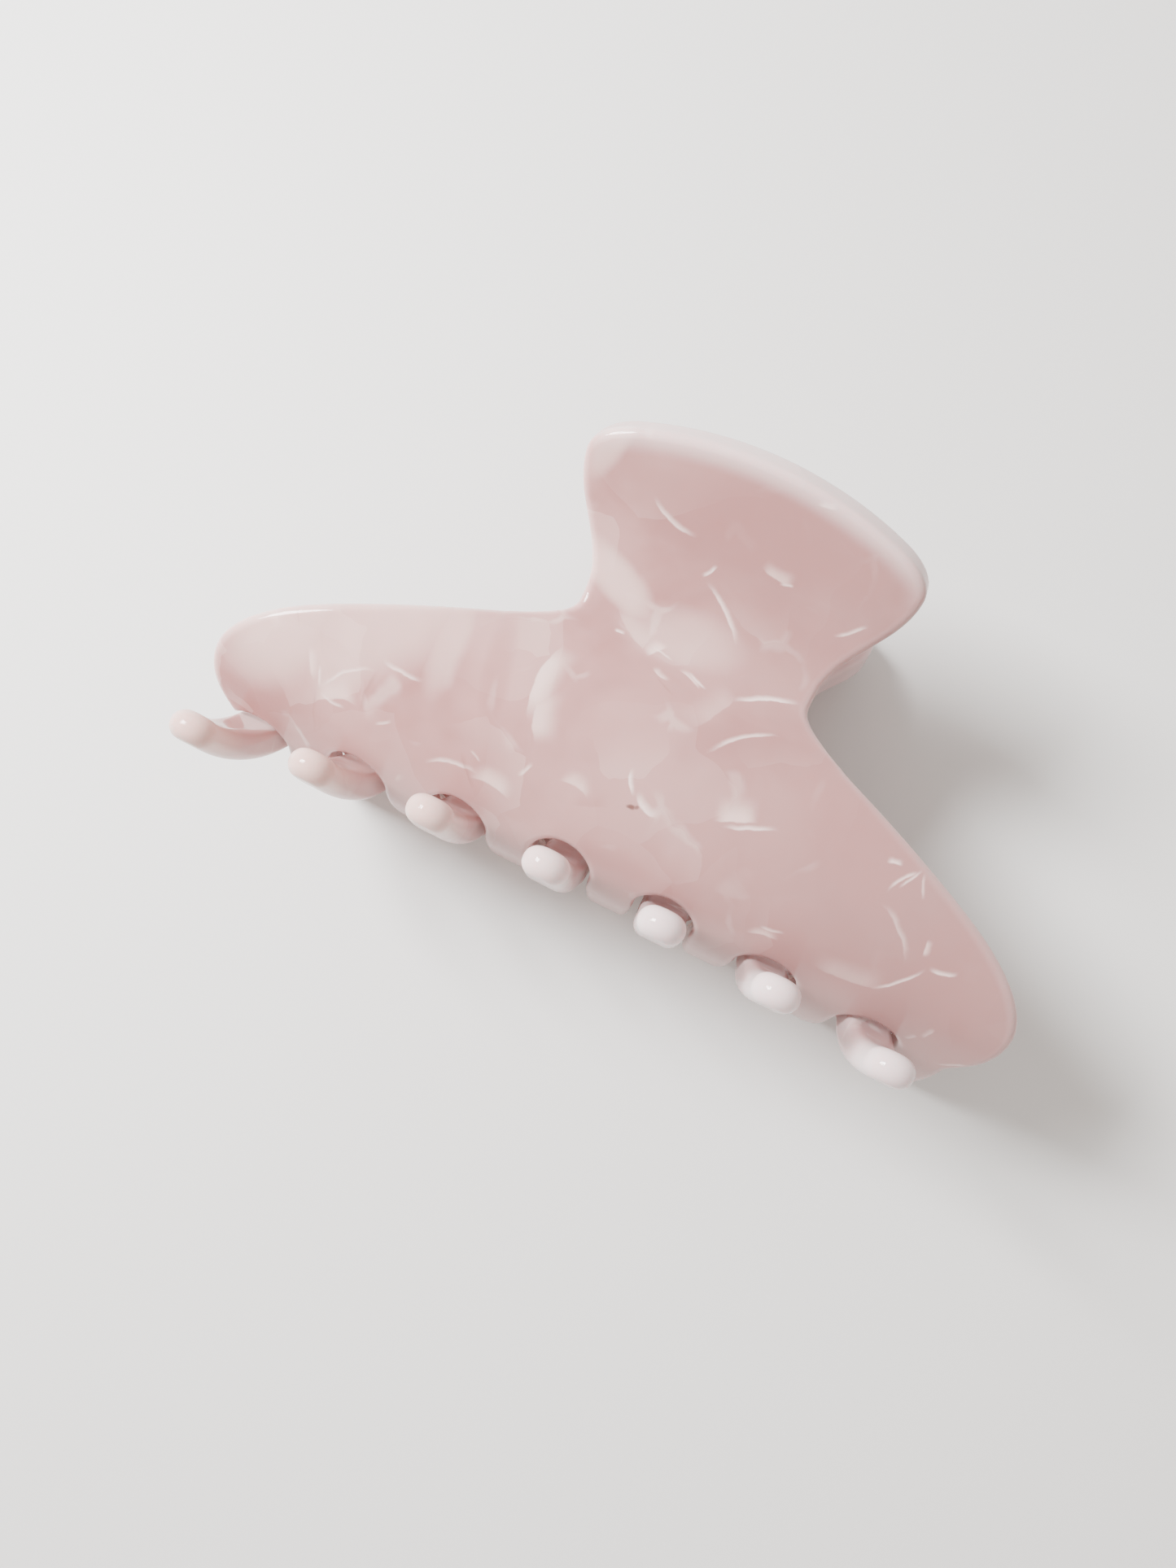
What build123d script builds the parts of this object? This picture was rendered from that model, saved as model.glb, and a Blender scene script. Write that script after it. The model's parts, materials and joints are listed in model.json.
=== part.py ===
"""A claw clip for hair: two bent acetate jaws on a sprung hinge, lying closed on its side.

While it is modelled, X runs along the hinge, Y from the teeth towards the grips and Z across the clip, with Z = 0
on the plane between the jaws. The front jaw is on the +Z side. The back jaw is the same part turned half a turn
about Y, and each jaw's teeth stand off its middle by a quarter of their pitch, so that they meet the other's slots.
Each jaw is a flat sheet bent about X, so its section is a chain of arcs: hook, shoulder, waist and grip, and a
straight end. The heading of a point of the section is the direction of the sheet's outward normal, in degrees:
0 towards -Y and 90 towards +Z.
"""
from math import acos, atan2, cos, degrees, hypot, radians, sin, sqrt
import os

from build123d import *

# The sheet's thickness and its bends, in mm and degrees, as (y, z) in the middle of its thickness
SHEET = 4.0
HALF_SHEET = SHEET / 2
HOOK_CENTRE = (15.7, -1.5)
HOOK_R = 15.0
HOOK_END = 34.0
HEM_Z = 3.5
SHOULDER_R = 11.5
SHOULDER_END = 131.0
WAIST_R = 9.0
WAIST_END = 72.0
GRIP_R = 26.0
GRIP_END = 50.0
GRIP_TOP_Y = 48.5

# The outline of a jaw
WAIST_HALF_WIDTH = 14.6
WAIST_CORNER_Y = 29.5
SHOULDER_POINTS = [(16.9, 26.9), (26.8, 21.9), (37.2, 16.8)]
JAW_END_TOP = (45.5, 11.7)
JAW_END = (50.2, 4.8)
JAW_END_BOTTOM = (49.2, 1.3)
JAW_HEM = (46.6, -1.6)
GRIP_HALF_WIDTH = 20.2
GRIP_WIDEST_DROP = 7.0
GRIP_TOP_HALF_CHORD = 15.5
GRIP_TOP_R = 46.0
GRIP_LENGTH = 22.5

# Teeth, and the slots that the other jaw's teeth pass through
TEETH = 7
PITCH = 13.6
TOOTH_WIDTH = 6.0
SLOT_WIDTH = PITCH - TOOTH_WIDTH
SLOT_TOP_Y = 4.0
SLOT_TOP_DROP = 2.1
END_TOOTH_EXTRA_R = 26.0
CLAW_HEADING = 10.0
TIP_HEADING = -8.0
CUT_DEPTH = 3 * SHEET
TEETH_SHIFT = PITCH / 4
END_TOOTH_X = PITCH * (TEETH - 1) / 2 + TEETH_SHIFT

# Hinge: lugs, pin and spring
PIVOT_Y = 29.4
KNUCKLE_R = 3.0
LUG_THICKNESS = 2.8
LUG_BASE = 10.4
LUG_REACH = 9.0
INNER_LUG_X = 5.0
LUG_GAP = 0.3
PIN_R = 1.1
PIN_PLAY = 0.05
PIN_HEAD_R = 2.0
PIN_HEAD_THICKNESS = 0.9
CAP_THICKNESS = 1.8
CAP_BORE_DEPTH = 1.2
WIRE_R = 0.55
COIL_R = 2.7
COIL_PITCH = 1.25
COIL_TURNS = 5
LEG_LENGTH = 12.0
LEG_CLEARANCE = 0.15

# Longer than anything here
FAR = 200.0


def normal(heading):
    """The sheet's outward normal at a heading, as (y, z)."""
    return -cos(radians(heading)), sin(radians(heading))


def moved(point, direction, distance):
    return point[0] + direction[0] * distance, point[1] + direction[1] * distance


class Bend:
    """One arc of the section. bulge is 1 where the sheet's outer face is convex and -1 where it is hollow."""

    def __init__(self, centre, radius, bulge, start, end):
        self.centre, self.radius, self.bulge, self.start, self.end = centre, radius, bulge, start, end

    def point(self, heading, offset=0.0):
        """A point of the arc, offset outwards from the middle of the sheet."""
        return moved(self.centre, normal(heading), self.bulge * self.radius + offset)

    def arc(self, offset):
        headings = (self.start, (self.start + self.end) / 2, self.end)
        return ThreePointArc(*(self.point(heading, offset) for heading in headings))

    def then(self, radius, bulge, end):
        """The arc that carries on from this one without a kink."""
        centre = moved(self.point(self.end), normal(self.end), -bulge * radius)
        return Bend(centre, radius, bulge, self.end, end)


hook = Bend(HOOK_CENTRE, HOOK_R, 1, HOOK_END, 90)
hook_downwards = Bend(HOOK_CENTRE, HOOK_R, 1, 90, HOOK_END)
shoulder = hook.then(SHOULDER_R, 1, SHOULDER_END)
waist = shoulder.then(WAIST_R, -1, WAIST_END)
grip = waist.then(GRIP_R, -1, GRIP_END)
grip_out = normal(GRIP_END)
grip_up = (grip_out[1], -grip_out[0])
grip_arc_end = grip.point(GRIP_END)
# The top of the grip's outer edge is at GRIP_TOP_Y
grip_top = moved(grip_arc_end, grip_up, (GRIP_TOP_Y - grip.point(GRIP_END, HALF_SHEET)[0]) / grip_up[0])
REST_Z = moved(grip_top, grip_out, HALF_SHEET)[1]


def solid_of(lines, low_x, high_x):
    """A closed run of lines in the YZ plane, made solid from low_x to high_x."""
    return Pos(low_x, 0, 0) * extrude(Plane.YZ * make_face(lines), high_x - low_x, dir=(1, 0, 0))


def bent_sheet():
    outer = [bend.arc(HALF_SHEET) for bend in (hook, shoulder, waist, grip)]
    inner = [bend.arc(-HALF_SHEET) for bend in (hook, shoulder, waist, grip)]
    top_outer, top_inner = (moved(grip_top, grip_out, side * HALF_SHEET) for side in (1, -1))
    ends = [
        Line(outer[-1] @ 1, top_outer),
        Line(top_outer, top_inner),
        Line(top_inner, inner[-1] @ 1),
        Line(outer[0] @ 0, inner[0] @ 0),
    ]
    return solid_of(outer + inner + ends, -FAR / 2, FAR / 2)


def body_outline():
    """The jaw below its waist, seen across the clip."""
    top = (WAIST_HALF_WIDTH, WAIST_CORNER_Y + 1)
    corner = (WAIST_HALF_WIDTH, WAIST_CORNER_Y)
    falling = (0.77, -0.63)
    right = [
        Line(top, corner),
        Spline([corner, *SHOULDER_POINTS, JAW_END_TOP], tangents=[(0, -1), falling]),
        Spline([JAW_END_TOP, JAW_END, JAW_END_BOTTOM, JAW_HEM], tangents=[falling, (-0.5, -0.86)]),
    ]
    hem_low = (JAW_HEM[0], JAW_HEM[1] - 1)
    right.append(Line(JAW_HEM, hem_low))
    across = [Line((-x, y), (x, y)) for x, y in (top, hem_low)]
    face = make_face(right + [mirror(line, Plane.YZ) for line in right] + across)
    return extrude(face, FAR, dir=(0, 0, 1), both=True)


def grip_outline():
    """The jaw above its waist, drawn flat on the grip's straight end and cut square to it."""
    half_chord = GRIP_TOP_HALF_CHORD
    chord_drop = GRIP_TOP_R - sqrt(GRIP_TOP_R**2 - half_chord**2)
    top = ThreePointArc((-half_chord, -chord_drop), (0, 0), (half_chord, -chord_drop))
    foot = (WAIST_HALF_WIDTH, -GRIP_LENGTH)
    down = (0, -1)
    widest = (GRIP_HALF_WIDTH, -GRIP_WIDEST_DROP)
    low_foot = (WAIST_HALF_WIDTH, foot[1] - GRIP_LENGTH)
    sides = [
        Spline([(half_chord, -chord_drop), widest], tangents=[(1, -half_chord / GRIP_TOP_R), down]),
        Spline([widest, foot], tangents=[down, down]),
        Line(foot, low_foot),
    ]
    across = [top, Line(low_foot, (-low_foot[0], low_foot[1]))]
    face = make_face(across + sides + [mirror(line, Plane.YZ) for line in sides])
    flat = Plane(origin=(0, *grip_top), x_dir=(1, 0, 0), z_dir=(0, *grip_out))
    return extrude(flat * face, FAR, both=True)


def end_share(x):
    """0 in the middle of the jaw and 1 at its last tooth, for what changes along the row of teeth."""
    return (x / END_TOOTH_X) ** 2


def square_to_hook(x, heading):
    """A plane on the middle of the hook, with its own X along the clip, Y up the sheet and Z outwards."""
    return Plane(origin=(x, *hook.point(heading)), x_dir=(1, 0, 0), z_dir=(0, *normal(heading)))


def slot(x):
    """The cut between two teeth, with a round top. Slots near the ends start lower."""
    top_y = SLOT_TOP_Y - SLOT_TOP_DROP * end_share(x)
    heading = degrees(acos((HOOK_CENTRE[0] - top_y) / (HOOK_R + HALF_SHEET)))
    radius = SLOT_WIDTH / 2
    round_top = Pos(0, -radius, 0) * Cylinder(radius, CUT_DEPTH)
    sides = Pos(0, -radius - CUT_DEPTH / 2, 0) * Box(SLOT_WIDTH, CUT_DEPTH, CUT_DEPTH)
    return square_to_hook(x, heading) * (round_top + sides)


def strip(x, low_x, high_x):
    """The sheet below the hook, bent as at the tooth at x, down to the round end of a tooth.

    It bends less sharply near the ends of the jaw, so the teeth there stand further out.
    """
    bend = hook_downwards.then(HOOK_R + END_TOOTH_EXTRA_R * end_share(x), 1, CLAW_HEADING)
    height = bend.point(CLAW_HEADING)[1] + REST_Z - HALF_SHEET
    claw = bend.then(height / (sin(radians(CLAW_HEADING)) - sin(radians(TIP_HEADING))), 1, TIP_HEADING)
    out = normal(TIP_HEADING)
    tip_outer, tip, tip_inner = (claw.point(TIP_HEADING, offset) for offset in (HALF_SHEET, 0, -HALF_SHEET))
    lines = [arc.arc(side * HALF_SHEET) for arc in (bend, claw) for side in (1, -1)]
    lines.append(Line(lines[0] @ 0, lines[1] @ 0))
    lines.append(ThreePointArc(tip_outer, moved(tip, (-out[1], out[0]), HALF_SHEET), tip_inner))
    return solid_of(lines, low_x, high_x)


def tooth(x):
    """One tooth below the hem, a gentle claw. Its tip is round in both directions."""
    half_width = TOOTH_WIDTH / 2
    round_end = Pos(x, 0, half_width - REST_Z) * Rot(90, 0, 0) * Cylinder(half_width, FAR)
    length = HEM_Z + REST_Z - half_width
    shaft = Pos(x, 0, HEM_Z - length / 2) * Box(TOOTH_WIDTH, FAR, length)
    return strip(x, x - half_width, x + half_width) & (round_end + shaft)


def jaw():
    """The front jaw with its grip and teeth. Its teeth stand in the middle of the back jaw's slots."""
    below_waist = Pos(0, waist.centre[0] - FAR / 2, 0) * Box(FAR, FAR, FAR)
    above_waist = Pos(0, waist.centre[0] + FAR / 2, 0) * Box(FAR, FAR, FAR)
    above_hem = Pos(0, 0, HEM_Z + FAR / 2) * Box(FAR, FAR, FAR)
    teeth = [PITCH * (i - (TEETH - 1) / 2) + TEETH_SHIFT for i in range(TEETH)]
    edges = [-FAR / 2] + [x + PITCH / 2 for x in teeth[:-1]] + [FAR / 2]
    sheet = bent_sheet()
    body = sheet & below_waist
    for x, low_x, high_x in zip(teeth, edges, edges[1:]):
        body += strip(x, low_x, high_x) & above_hem
    solid = (body & body_outline()) + (sheet & above_waist & grip_outline())
    for x in teeth:
        solid -= slot(x - 2 * TEETH_SHIFT)
    for x in teeth:
        solid += tooth(x)
    return solid


def lug(low_x, bore_r, jaw_solid):
    """A perforated tab that carries the pin, seated on the inner face of the jaw's waist."""
    knuckle = Pos(0, PIVOT_Y, 0) * Rot(0, 90, 0) * Cylinder(KNUCKLE_R, LUG_THICKNESS)
    half = LUG_BASE / 2
    web_lines = Polyline(
        (-KNUCKLE_R, 0), (KNUCKLE_R, 0), (half, LUG_REACH), (-half, LUG_REACH), (-KNUCKLE_R, 0)
    )
    web = Plane.YZ * Pos(PIVOT_Y, 0) * make_face(web_lines)
    solid = knuckle + extrude(web, LUG_THICKNESS / 2, both=True)
    solid -= Pos(0, PIVOT_Y, 0) * Rot(0, 90, 0) * Cylinder(bore_r, FAR)
    return Pos(low_x + LUG_THICKNESS / 2, 0, 0) * solid - jaw_solid


def rod(radius, low_x, high_x):
    return Pos((low_x + high_x) / 2, PIVOT_Y, 0) * Rot(0, 90, 0) * Cylinder(radius, high_x - low_x)


def turned_over(shape):
    return Rot(0, 180, 0) * shape


def torsion_spring():
    """The spring's coil round the pin, and its two straight legs, each lying along one grip's inner face.

    Angles are about the pivot, from +Y towards +Z. The leg's tip stands off the face that it pushes on.
    """
    tip_distance = hypot(LEG_LENGTH, COIL_R)
    to_centre = (grip.centre[0] - PIVOT_Y, grip.centre[1])
    centre_distance = hypot(*to_centre)
    stand_off = GRIP_R + HALF_SHEET + WIRE_R + LEG_CLEARANCE
    cosine = (tip_distance**2 + centre_distance**2 - stand_off**2) / (2 * tip_distance * centre_distance)
    tip_angle = degrees(atan2(to_centre[1], to_centre[0]) - acos(cosine))
    leg_angle = tip_angle - degrees(atan2(COIL_R, LEG_LENGTH))
    turns = COIL_TURNS + (180 - 2 * leg_angle) / 360
    half_height = turns * COIL_PITCH / 2
    start = radians(leg_angle + 90)
    plane = Plane(origin=(-half_height, PIVOT_Y, 0), x_dir=(0, cos(start), sin(start)), z_dir=(1, 0, 0))
    coil = plane * Helix(COIL_PITCH, 2 * half_height, COIL_R)
    first_leg = Line(coil @ 0 - (coil % 0) * LEG_LENGTH, coil @ 0)
    last_leg = Line(coil @ 1, coil @ 1 + (coil % 1) * LEG_LENGTH)
    path = Wire([first_leg, coil, last_leg])
    return sweep(Plane(origin=path @ 0, z_dir=path % 0) * Circle(WIRE_R), path=path, is_frenet=True)


front_jaw = jaw()
outer_lug_x = INNER_LUG_X + LUG_THICKNESS + LUG_GAP
pin_end_x = outer_lug_x + LUG_THICKNESS
parts = {"front_jaw": front_jaw, "back_jaw": turned_over(front_jaw)}
parts["front_lug_right"] = lug(INNER_LUG_X, PIN_R + PIN_PLAY, front_jaw)
parts["front_lug_left"] = lug(-INNER_LUG_X - LUG_THICKNESS, PIN_R + PIN_PLAY, front_jaw)
parts["back_lug_left"] = turned_over(lug(outer_lug_x, PIN_R, front_jaw))
parts["back_lug_right"] = turned_over(lug(-pin_end_x, PIN_R, front_jaw))
parts["hinge_pin"] = rod(PIN_R, -pin_end_x, pin_end_x + CAP_BORE_DEPTH)
parts["hinge_pin"] += rod(PIN_HEAD_R, -pin_end_x - PIN_HEAD_THICKNESS, -pin_end_x)
parts["pin_cap"] = rod(PIN_HEAD_R, pin_end_x, pin_end_x + CAP_THICKNESS)
parts["pin_cap"] -= rod(PIN_R, pin_end_x, pin_end_x + CAP_BORE_DEPTH)
parts["torsion_spring"] = torsion_spring()

# The origin goes under the middle of the clip, on the surface that it lies on
boxes = [shape.bounding_box() for shape in parts.values()]
middle_y = (min(box.min.Y for box in boxes) + max(box.max.Y for box in boxes)) / 2
os.makedirs("parts", exist_ok=True)
for name, shape in parts.items():
    export_step(Pos(0, -middle_y, REST_Z) * shape, f"parts/{name}.step")
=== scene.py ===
"""A claw clip of polished, pearly pink acetate, lying closed on its side on a pale table.

Lengths are millimetres until a mesh is made. The jaws are drawn flat, as the sheet that they are cut from:
X runs along the hinge, S up the sheet from the top of the hook and N out of its outer face. Bending that
sheet gives the model's own axes, with Y from the teeth towards the grips and Z across the clip, and Z = 0
between the jaws. The heading of a point of the section is the direction of the outward normal: 0 towards -Y
and 90 towards +Z.
"""
import json
import math

import bpy
import numpy as np
from mathutils import Matrix, Vector


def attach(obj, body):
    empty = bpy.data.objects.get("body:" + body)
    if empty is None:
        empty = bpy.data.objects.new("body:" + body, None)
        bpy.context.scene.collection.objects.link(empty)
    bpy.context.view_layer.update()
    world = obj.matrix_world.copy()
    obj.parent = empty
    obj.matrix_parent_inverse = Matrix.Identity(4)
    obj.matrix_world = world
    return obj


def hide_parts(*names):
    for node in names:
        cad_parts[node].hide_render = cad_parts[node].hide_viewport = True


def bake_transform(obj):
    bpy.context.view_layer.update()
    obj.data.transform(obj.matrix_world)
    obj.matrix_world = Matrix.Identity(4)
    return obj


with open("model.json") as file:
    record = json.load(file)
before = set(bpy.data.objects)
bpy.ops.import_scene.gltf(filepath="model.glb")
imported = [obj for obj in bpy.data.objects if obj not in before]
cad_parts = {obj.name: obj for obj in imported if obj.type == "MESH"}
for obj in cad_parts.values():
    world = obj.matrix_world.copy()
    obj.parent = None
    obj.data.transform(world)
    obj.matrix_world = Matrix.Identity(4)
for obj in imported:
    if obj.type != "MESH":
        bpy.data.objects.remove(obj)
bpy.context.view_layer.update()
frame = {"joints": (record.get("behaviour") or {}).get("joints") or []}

MM = 0.001

# The bent sheet and its outline, as in the CAD model
HALF_SHEET = 2.0
HOOK_CENTRE = np.array([15.7, -1.5])
HOOK_R = 15.0
HOOK_TOP = 90.0
HOOK_END = 34.0
BENDS_UP = ((11.5, 131.0), (9.0, 72.0), (26.0, 50.0))
GRIP_TOP_Y = 48.5
WAIST_HALF_WIDTH = 14.6
WAIST_CORNER_Y = 29.5
SHOULDER_POINTS = [(16.9, 26.9), (26.8, 21.9), (37.2, 16.8)]
JAW_END_TOP = (45.5, 11.7)
JAW_END = (50.2, 4.8)
JAW_END_BOTTOM = (49.2, 1.3)
JAW_HEM = (46.6, -1.6)
GRIP_HALF_WIDTH = 20.2
GRIP_WIDEST_DROP = 7.0
GRIP_TOP_HALF_CHORD = 15.5
GRIP_TOP_R = 46.0
GRIP_LENGTH = 22.5

# The row of teeth and slots. The teeth turn from CLAW_HEADING to TIP_HEADING as claws, and towards the ends
# of the row the bend above the claws widens.
TEETH = 7
PITCH = 13.6
TOOTH_HALF_WIDTH = 3.0
TIP_HALF_WIDTH = 2.7
SLOT_HALF_WIDTH = PITCH / 2 - TOOTH_HALF_WIDTH
SLOT_TOP_Y = 3.3
SLOT_TOP_DROP = 3.2
END_TOOTH_EXTRA_R = 26.0
CLAW_HEADING = 10.0
TIP_HEADING = -8.0
TEETH_SHIFT = PITCH / 4
END_TOOTH_X = PITCH * (TEETH - 1) / 2 + TEETH_SHIFT

# Over this much S on each side of the hem, what leans with X turns into teeth that lean as a whole
LEAN_REACH = 4.0

# How far the tumbling has rounded the edges and the tips, and how wide the rim is that gets a painted sheen
EDGE_ROUND = 0.85
TIP_ROUND = 1.65
TIP_HALF_THICKNESS = 1.7
CORNER_ROUND = 0.45
SHEEN_RIM_WIDTH = 3.5

# Fineness of the jaws' grid and of the curves, the step over which slopes are measured, and a distance
# longer than any other
JAW_STEP = 0.4
SPLINE_POINTS = 14
GRIP_TOP_POINTS = 20
SECTION_POINTS = 1500
NUDGE = 0.02
FAR = 1e3

# Where in the sheet the back jaw and the lugs are cut from, seen from where the front jaw is cut from
ELSEWHERE = (-173.0, 0.0, 20.0)
LUGS_S = 90.0
LUG_SPACING_S = 30.0

# Hinge
PIVOT_Y = 29.4
KNUCKLE_R = 3.0
LUG_THICKNESS = 2.8
LUG_BASE = 10.4
LUG_REACH = 9.0
INNER_LUG_X = 5.0
LUG_GAP = 0.3
LUG_STEP = 0.2
LUG_ROUND = 0.4
WELD_DEPTH = 0.4
WELD_FILLET = 1.1
PIN_R = 1.1
PIN_PLAY = 0.05
PIN_TIP_CHAMFER = 0.2
PIN_TIP_LENGTH = 1.0
PIN_HEAD_R = 2.0
PIN_HEAD_THICKNESS = 0.9
DOME_RISE = 0.45
DOME_CORNER = 0.18
CAP_THICKNESS = 1.8
CAP_EDGE = 0.08
CRIMP_HEIGHT = 0.35
CRIMP_HALF_WIDTH = 0.25
CRIMP_DEPTH = 0.12
WIRE_R = 0.55
COIL_R = 2.7
COIL_PITCH = 1.25
COIL_TURNS = 5
LEG_LENGTH = 12.0
LEG_CLEARANCE = 0.15

hinge = frame["joints"][0]["pos_m"]
MIDDLE_Y = PIVOT_Y - hinge[1] / MM
REST_Z = hinge[2] / MM


# --- The sheet's section --------------------------------------------------------------------------

def normal(heading):
    """The outward normal at headings in degrees, as (y, z)."""
    angle = np.radians(heading)
    return np.stack([-np.cos(angle), np.sin(angle)], axis=-1)


def up_sheet(heading):
    """The direction of growing S at headings in degrees, as (y, z)."""
    angle = np.radians(heading)
    return np.stack([np.sin(angle), np.cos(angle)], axis=-1)


HOOK_END_S = -HOOK_R * math.radians(HOOK_TOP - HOOK_END)


def bend_knots():
    """S, heading and (y, z) where the curvature changes, from the hook's lower end up to the grip's flat."""
    knots = [(HOOK_END_S, HOOK_END, HOOK_CENTRE + HOOK_R * normal(HOOK_END))]
    knots.append((0.0, HOOK_TOP, HOOK_CENTRE + HOOK_R * normal(HOOK_TOP)))
    for radius, heading in BENDS_UP:
        s, last, at = knots[-1]
        turn = math.radians(heading - last)
        signed_radius = math.copysign(radius, turn)
        place = at + signed_radius * (normal(heading) - normal(last))
        knots.append((s + radius * abs(turn), heading, place))
    return knots


KNOTS = bend_knots()
GRIP_FLAT_S, GRIP_HEADING, GRIP_FLAT_START = KNOTS[-1]
GRIP_OUT = normal(GRIP_HEADING)
GRIP_UP = up_sheet(GRIP_HEADING)
GRIP_TOP_S = GRIP_FLAT_S + (GRIP_TOP_Y - GRIP_FLAT_START[0] - GRIP_OUT[0] * HALF_SHEET) / GRIP_UP[0]


def end_share(x):
    """0 in the middle of the jaw and 1 at its last tooth, for what changes along the row of teeth."""
    return (x / END_TOOTH_X) ** 2


def last_bends(share):
    """The radii of the sheet below the hook: of its last bend and of the claws that the teeth are."""
    bend = HOOK_R + END_TOOTH_EXTRA_R * share
    claw_z = KNOTS[0][2][1] + bend * (normal(CLAW_HEADING) - normal(HOOK_END))[1]
    return bend, (claw_z + REST_Z - HALF_SHEET) / (normal(CLAW_HEADING) - normal(TIP_HEADING))[1]


def section(share, s):
    """Heading and middle of the sheet's thickness, as (y, z), at S."""
    knot_s = [knot[0] for knot in KNOTS]
    heading = np.interp(s, knot_s, [knot[1] for knot in KNOTS])
    place = np.empty((*np.shape(s), 2))
    for (s_low, low, at), (s_high, high, _) in zip(KNOTS, KNOTS[1:]):
        here = (s >= s_low) & (s <= s_high)
        radius = (s_high - s_low) / math.radians(high - low)
        place[here] = at + radius * (normal(heading[here]) - normal(low))
    flat = s > GRIP_FLAT_S
    place[flat] = GRIP_FLAT_START + (s[flat] - GRIP_FLAT_S)[:, None] * GRIP_UP
    below = s < HOOK_END_S
    bend_r, claw_r = last_bends(share[below])
    travel = HOOK_END_S - s[below]
    bend_turn = np.minimum(travel / bend_r, math.radians(HOOK_END - CLAW_HEADING))
    travel -= bend_r * bend_turn
    claw_turn = np.minimum(travel / claw_r, math.radians(CLAW_HEADING - TIP_HEADING))
    travel -= claw_r * claw_turn
    claw_start = HOOK_END - np.degrees(bend_turn)
    heading[below] = claw_start - np.degrees(claw_turn)
    place[below] = KNOTS[0][2] + bend_r[:, None] * (normal(claw_start) - normal(HOOK_END))
    place[below] += claw_r[:, None] * (normal(heading[below]) - normal(claw_start))
    place[below] -= travel[:, None] * up_sheet(heading[below])
    return heading, place


def s_at(x, y):
    """S where the outer face of the sheet is at (x, y), seen across the clip."""
    s = np.linspace(HOOK_END_S - HOOK_R, GRIP_TOP_S, SECTION_POINTS)
    heading, place = section(np.full_like(s, end_share(x)), s)
    outer = place + HALF_SHEET * normal(heading)
    return float(np.interp(y, outer[:, 0], s))


def tooth_end_s(x):
    """S of a tooth's tip, which reaches the plane that the clip lies on."""
    bend_r, claw_r = last_bends(end_share(x))
    bend = bend_r * math.radians(HOOK_END - CLAW_HEADING)
    return HOOK_END_S - bend - claw_r * math.radians(CLAW_HEADING - TIP_HEADING) - HALF_SHEET


# --- The flat pattern of a jaw --------------------------------------------------------------------

def spline(points, first, last):
    """A smooth curve through points that leaves along first and arrives along last."""
    points = np.array(points, float)
    gaps = np.linalg.norm(np.diff(points, axis=0), axis=1)
    count = len(points)
    system = np.eye(count)
    slopes = np.zeros((count, 2))
    slopes[0] = np.array(first) / np.linalg.norm(first)
    slopes[-1] = np.array(last) / np.linalg.norm(last)
    chords = np.diff(points, axis=0) / gaps[:, None]
    for i in range(1, count - 1):
        before, after = 1 / gaps[i - 1], 1 / gaps[i]
        system[i, i - 1:i + 2] = before, 2 * (before + after), after
        slopes[i] = 3 * (chords[i - 1] * before + chords[i] * after)
    slopes = np.linalg.solve(system, slopes)
    t = np.linspace(0, 1, SPLINE_POINTS, endpoint=False)[:, None]
    spans = []
    for i in range(count - 1):
        start, end = points[i], points[i + 1]
        leave, arrive = slopes[i] * gaps[i], slopes[i + 1] * gaps[i]
        spans.append(
            start * (2 * t**3 - 3 * t**2 + 1) + leave * (t**3 - 2 * t**2 + t)
            + end * (3 * t**2 - 2 * t**3) + arrive * (t**3 - t**2)
        )
    return np.concatenate([*spans, points[-1:]])


def jaw_outline():
    """The flat jaw without its teeth, as a closed run of (x, s)."""
    falling = (0.77, -0.63)
    shoulder = spline([(WAIST_HALF_WIDTH, WAIST_CORNER_Y), *SHOULDER_POINTS, JAW_END_TOP], (0, -1), falling)
    end = spline([JAW_END_TOP, JAW_END, JAW_END_BOTTOM, JAW_HEM], falling, (-0.5, -0.86))
    lower = [(x, s_at(x, y)) for x, y in np.concatenate([shoulder[:-1], end])]
    half_chord = GRIP_TOP_HALF_CHORD
    drop = GRIP_TOP_R - math.sqrt(GRIP_TOP_R**2 - half_chord**2)
    widest = (GRIP_HALF_WIDTH, GRIP_TOP_S - GRIP_WIDEST_DROP)
    foot = (WAIST_HALF_WIDTH, GRIP_TOP_S - GRIP_LENGTH)
    corner = (half_chord, GRIP_TOP_S - drop)
    top_x = np.linspace(0, half_chord, GRIP_TOP_POINTS, endpoint=False)
    top = np.column_stack([top_x, GRIP_TOP_S - GRIP_TOP_R + np.sqrt(GRIP_TOP_R**2 - top_x**2)])
    flank = spline([corner, widest], (1, -half_chord / GRIP_TOP_R), (0, -1))
    flare = spline([widest, foot], (0, -1), (0, -1))
    right = np.concatenate([top, flank[:-1], flare, lower])
    left = right[:0:-1] * (-1, 1)
    return np.concatenate([right, left])


def distance(points, outline):
    """Signed distances from points to a closed outline, negative inside."""
    start = outline
    edge = np.roll(outline, -1, axis=0) - start
    square = (edge**2).sum(axis=1)
    found = []
    for some in np.array_split(points, len(points) * len(outline) // 2_000_000 + 1):
        away = some[:, None] - start
        along = np.clip((away * edge).sum(axis=2) / square, 0, 1)
        gap = ((away - along[..., None] * edge) ** 2).sum(axis=2).min(axis=1)
        spans = (away[..., 1] < 0) != (away[..., 1] < edge[:, 1])
        slope = edge[:, 0] / np.where(edge[:, 1] == 0, 1, edge[:, 1])
        hits = (spans & (away[..., 0] < away[..., 1] * slope)).sum(axis=1)
        found.append(np.sqrt(gap) * np.where(hits % 2, -1, 1))
    return np.concatenate(found)


def smooth_max(a, b, width):
    """The larger of a and b, rounded where they are closer than width."""
    blend = np.clip(0.5 + 0.5 * (a - b) / width, 0, 1)
    return b + (a - b) * blend + width * blend * (1 - blend)


def ramp(value, low, high):
    """0 at low and 1 at high, with a smooth start and end."""
    t = np.clip((value - low) / (high - low), 0, 1)
    return t * t * (3 - 2 * t)


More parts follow.
